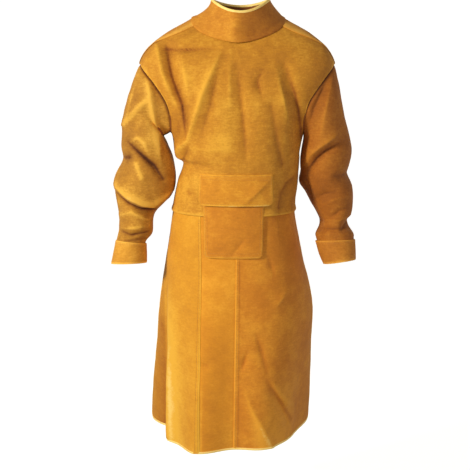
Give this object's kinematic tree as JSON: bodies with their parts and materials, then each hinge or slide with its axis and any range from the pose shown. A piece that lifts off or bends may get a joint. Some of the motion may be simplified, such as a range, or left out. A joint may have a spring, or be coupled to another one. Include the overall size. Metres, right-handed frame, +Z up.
{
  "type": "sleeved leather welding apron",
  "caption": "Sleeved welding apron of tan split leather with a stand collar, cuffs, a flapped waist pocket and a bound skirt that is open at the back, in its worn form.",
  "frame": {"origin": "middle of the neck, level with the shoulders where they meet the collar", "axes": "+Z up, the chest faces -Y, and the sleeves lie at -X and +X"},
  "size_m": [0.6424, 0.2822, 1.1672],
  "materials": {
    "hide": "matte napped split leather",
    "binding": "smooth pale leather strip"
  },
  "bodies": {
    "root": {"bodice_front": "hide", "back_left": "hide", "back_right": "hide", "sleeve_left": "hide", "cuff_left": "hide", "sleeve_right": "hide", "cuff_right": "hide", "skirt_left": "hide", "skirt_centre": "hide", "skirt_right": "hide", "collar": "hide", "neck_tab": "hide", "pocket": "hide", "pocket_flap": "hide", "back_strap": "hide", "hem_binding": "binding", "collar_binding": "binding"}
  },
  "joints": []
}
